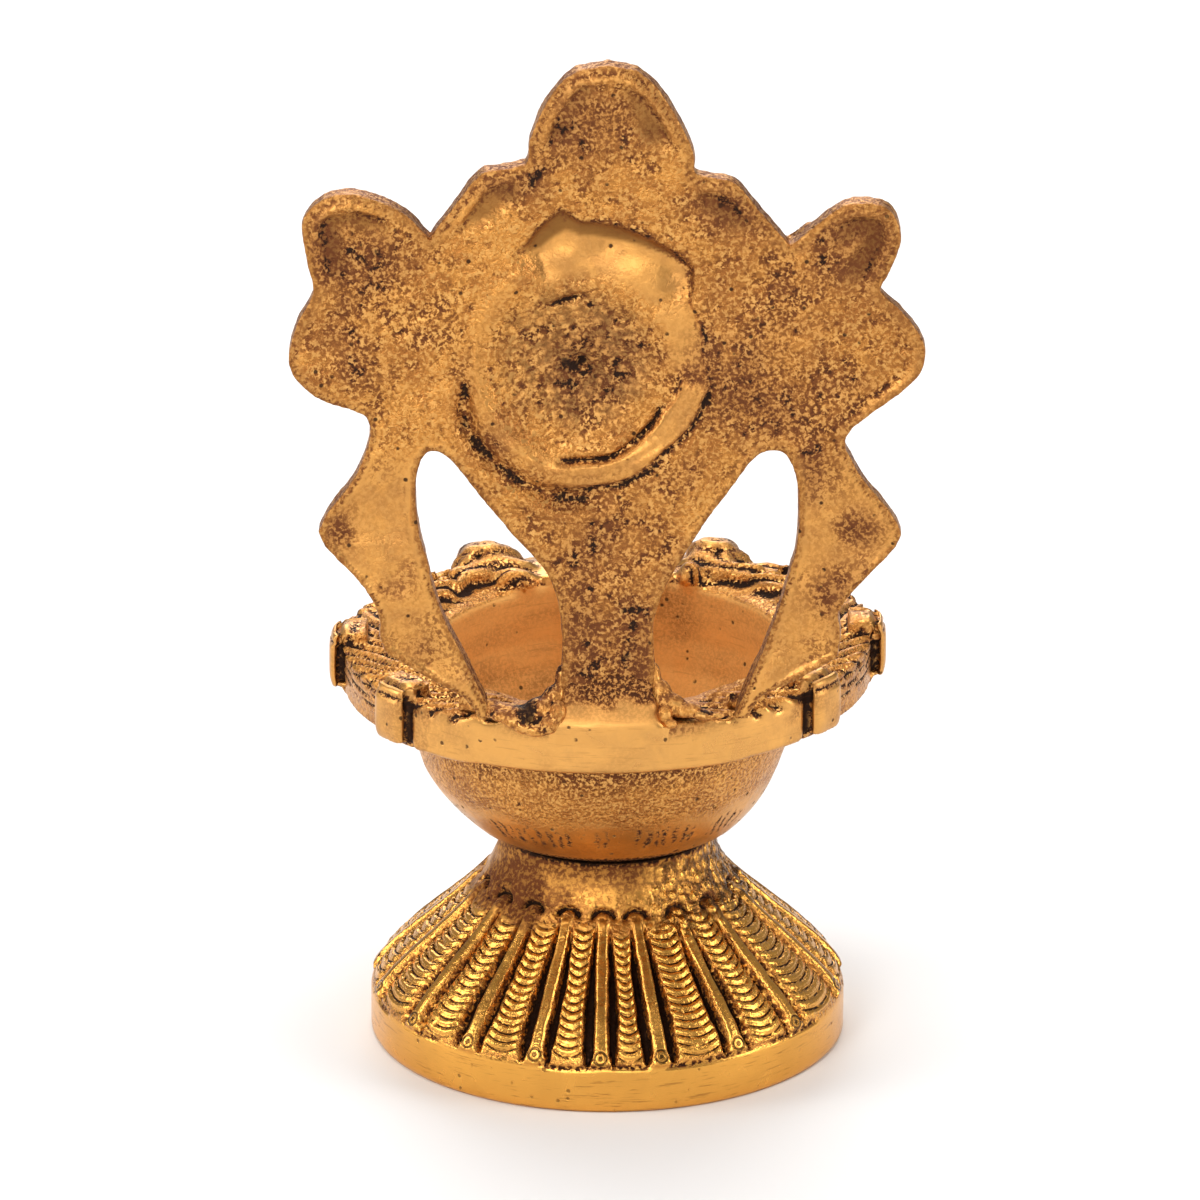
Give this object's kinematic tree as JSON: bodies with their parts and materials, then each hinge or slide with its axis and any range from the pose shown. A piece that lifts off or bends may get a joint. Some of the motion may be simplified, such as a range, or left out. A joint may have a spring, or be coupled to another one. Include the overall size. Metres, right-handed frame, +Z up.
{
  "type": "oil lamp",
  "caption": "Standing brass oil lamp: a round bowl with a spout turns on a flared, ribbed pedestal, and a flame-edged disc plaque on a stem rises from the back of its rim.",
  "frame": {"origin": "centre of the pedestal's foot, on the ground", "axes": "+Z up the lamp, -Y towards the spout, +Y towards the back plate"},
  "size_m": [0.0705, 0.0686, 0.1254],
  "materials": {
    "cast_brass": "antique sand-cast brass, dark patina in the grooves",
    "cast_brass_bowl": "antique cast brass, filed smooth on the rim band and turned inside",
    "cast_brass_plate": "rough grained cast brass with brown patina",
    "filed_brass": "filed and rubbed brass seam",
    "braze": "lumpy braze, partly darkened",
    "steel": "plain zinc-plated steel fixing"
  },
  "bodies": {
    "pedestal": {"pedestal": "cast_brass", "washer": "steel"},
    "bowl": {"bowl": "cast_brass_bowl", "back_plate": "cast_brass_plate", "stud": "steel", "nut": "steel", "braze_back": "filed_brass", "braze_left": "braze", "braze_right": "braze", "ribbon_braze_left": "braze", "ribbon_braze_right": "braze"}
  },
  "joints": [
    {"name": "bowl_turn", "type": "hinge", "parent": "pedestal", "child": "bowl", "pos_m": [0, 0, 0.025], "axis": [0, 0, 1], "continuous": true}
  ]
}
